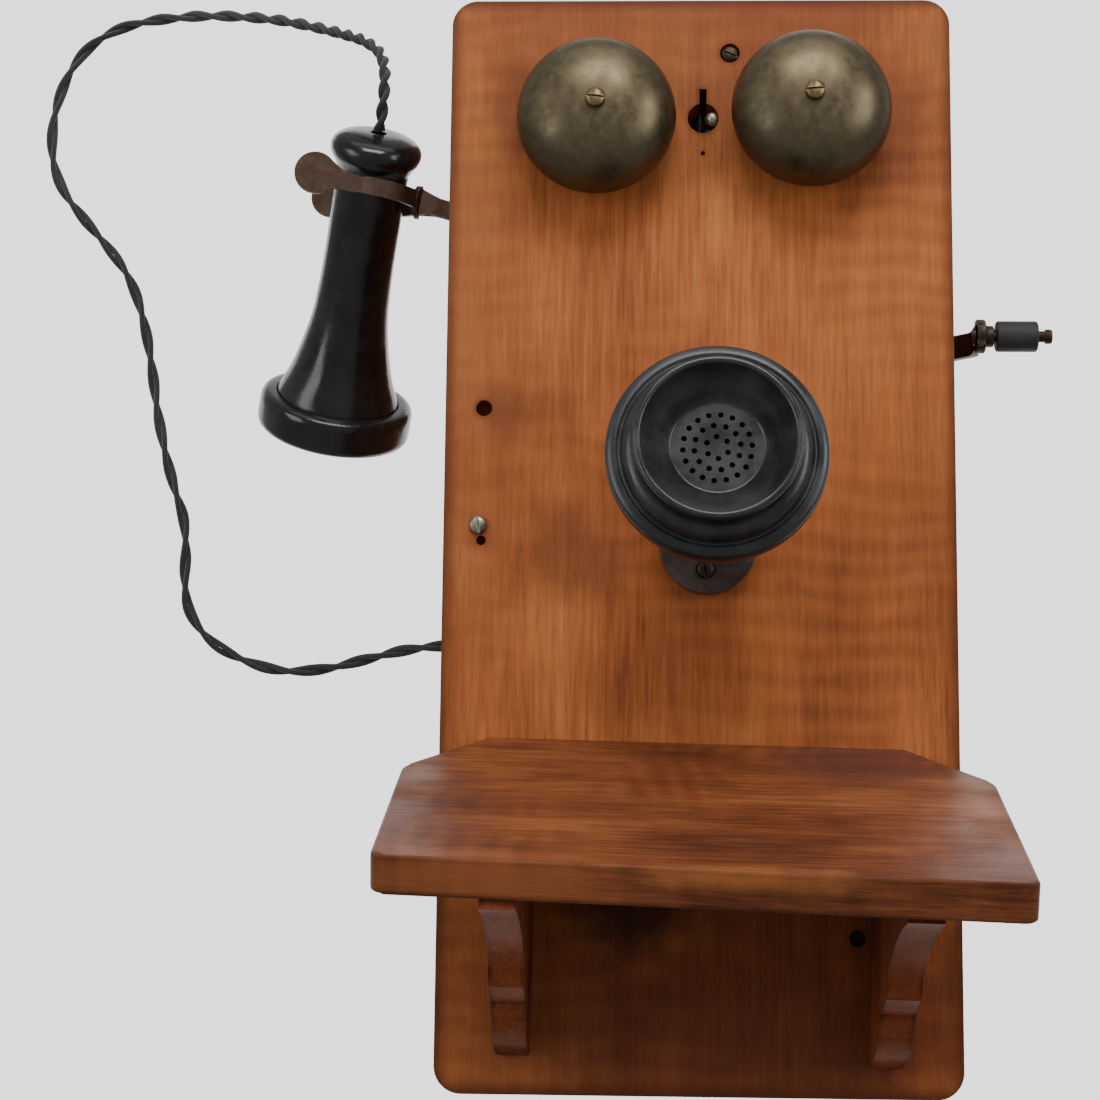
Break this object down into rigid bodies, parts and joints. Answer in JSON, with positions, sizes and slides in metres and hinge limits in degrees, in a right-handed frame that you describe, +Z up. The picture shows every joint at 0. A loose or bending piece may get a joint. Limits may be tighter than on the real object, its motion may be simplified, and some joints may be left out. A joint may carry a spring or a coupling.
{
  "type": "wall crank telephone",
  "caption": "Wooden wall telephone with a hinged door, paired gongs, tilting transmitter, sloping writing shelf, corded receiver on a hook switch, and a hand-cranked magneto.",
  "frame": {"origin": "centre of the rear face of the back board, where the telephone lies against the wall", "axes": "+Z up, +Y into the wall, -Y out into the room, +X to the right for somebody facing the telephone"},
  "size_m": [0.4562, 0.2772, 0.4914],
  "materials": {
    "oak": "varnished oak, satin",
    "shelf_wood": "darker varnished oak, satin",
    "inner_wood": "bare wood",
    "bakelite": "black bakelite, polished, worn",
    "aged_brass": "patinated",
    "strap_metal": "brown, worn copper plating",
    "black_iron": "blackened",
    "steel": "dull",
    "magnet_paint": "dark red paint",
    "coil_wrap": "waxed cloth and enamelled wire",
    "cell_card": "plain card sleeve",
    "cord_cloth": "braided cotton"
  },
  "bodies": {
    "cabinet": {"side_board_left": "oak", "side_board_right": "oak", "top_board": "oak", "bottom_board": "oak", "back_board": "inner_wood", "generator_shelf": "inner_wood", "hinge_leaf_cabinet_upper": "aged_brass", "hinge_leaf_cabinet_lower": "aged_brass", "hinge_pin_upper": "steel", "hinge_pin_lower": "steel", "magneto_magnet_1": "magnet_paint", "magneto_magnet_2": "magnet_paint", "magneto_magnet_3": "magnet_paint", "magneto_end_plate_inner": "aged_brass", "magneto_end_plate_outer": "aged_brass", "dry_cell_left": "cell_card", "dry_cell_right": "cell_card", "induction_coil": "coil_wrap", "condenser": "steel", "terminal_block": "black_iron", "hook_bracket": "steel", "hook_contact_spring": "aged_brass", "cord_grommet": "bakelite"},
    "door": {"door_panel": "oak", "hinge_leaf_door_upper": "aged_brass", "hinge_leaf_door_lower": "aged_brass", "gong_left": "aged_brass", "gong_right": "aged_brass", "gong_post_left": "aged_brass", "gong_post_right": "aged_brass", "gong_screw_left": "aged_brass", "gong_screw_right": "aged_brass", "ringer_frame": "black_iron", "ringer_coil_left": "coil_wrap", "ringer_coil_right": "coil_wrap", "top_plug_screw": "black_iron", "door_lock_screw": "steel", "shelf_board": "shelf_wood", "shelf_bracket_left": "shelf_wood", "shelf_bracket_right": "shelf_wood", "transmitter_foot": "bakelite", "foot_screw_lower": "black_iron", "foot_screw_upper": "black_iron"},
    "transmitter": {"transmitter_cup": "bakelite", "transmitter_faceplate": "bakelite", "transmitter_mouthpiece": "bakelite", "transmitter_capsule": "aged_brass", "transmitter_pivot_pin": "steel"},
    "clapper": {"clapper": "steel"},
    "crank": {"crank_shaft": "steel", "drive_gear": "aged_brass", "crank_arm": "black_iron", "crank_pin": "black_iron"},
    "crank_grip": {"crank_grip": "bakelite"},
    "armature": {"magneto_armature": "steel"},
    "hook_lever": {"hook_lever": "strap_metal"},
    "receiver": {"receiver_shell": "bakelite", "receiver_ear_cap": "bakelite", "receiver_magnet": "magnet_paint", "receiver_cord": "cord_cloth"}
  },
  "joints": [
    {"name": "door_hinge", "type": "hinge", "parent": "cabinet", "child": "door", "pos_m": [0.1022, -0.1013, 0], "axis": [0, 0, 1], "range_deg": [0, 85]},
    {"name": "transmitter_tilt", "type": "hinge", "parent": "door", "child": "transmitter", "pos_m": [0.0052, -0.1582, 0.0134], "axis": [1, 0, 0], "range_deg": [-15, 30]},
    {"name": "clapper_swing", "type": "hinge", "parent": "door", "child": "clapper", "pos_m": [0.0005, -0.096, 0.1753], "axis": [0, 0, 1], "range_deg": [-16.2, 7.4]},
    {"name": "crank_turn", "type": "hinge", "parent": "cabinet", "child": "crank", "pos_m": [0.1, -0.052, 0.0885], "axis": [1, 0, 0], "continuous": true},
    {"name": "grip_spin", "type": "hinge", "parent": "crank", "child": "crank_grip", "pos_m": [0.135, -0.092, 0.0885], "axis": [1, 0, 0], "continuous": true},
    {"name": "armature_spin", "type": "hinge", "parent": "cabinet", "child": "armature", "pos_m": [0.05, -0.052, 0.05675], "axis": [1, 0, 0], "continuous": true},
    {"name": "receiver_lift", "type": "slide", "parent": "cabinet", "child": "receiver", "axis": [-0.7356, -0.159, 0.6585], "range_m": [0, 0.06]},
    {"name": "hook_rise", "type": "hinge", "parent": "cabinet", "child": "hook_lever", "pos_m": [-0.07763, -0.0877, 0.13629], "axis": [0, 1, 0], "range_deg": [0, 8.6]}
  ],
  "couplings": [
    {"joint": "armature_spin", "follows": "crank_turn", "ratio": -4},
    {"joint": "hook_rise", "follows": "receiver_lift", "rad_per_m": 2.5}
  ]
}
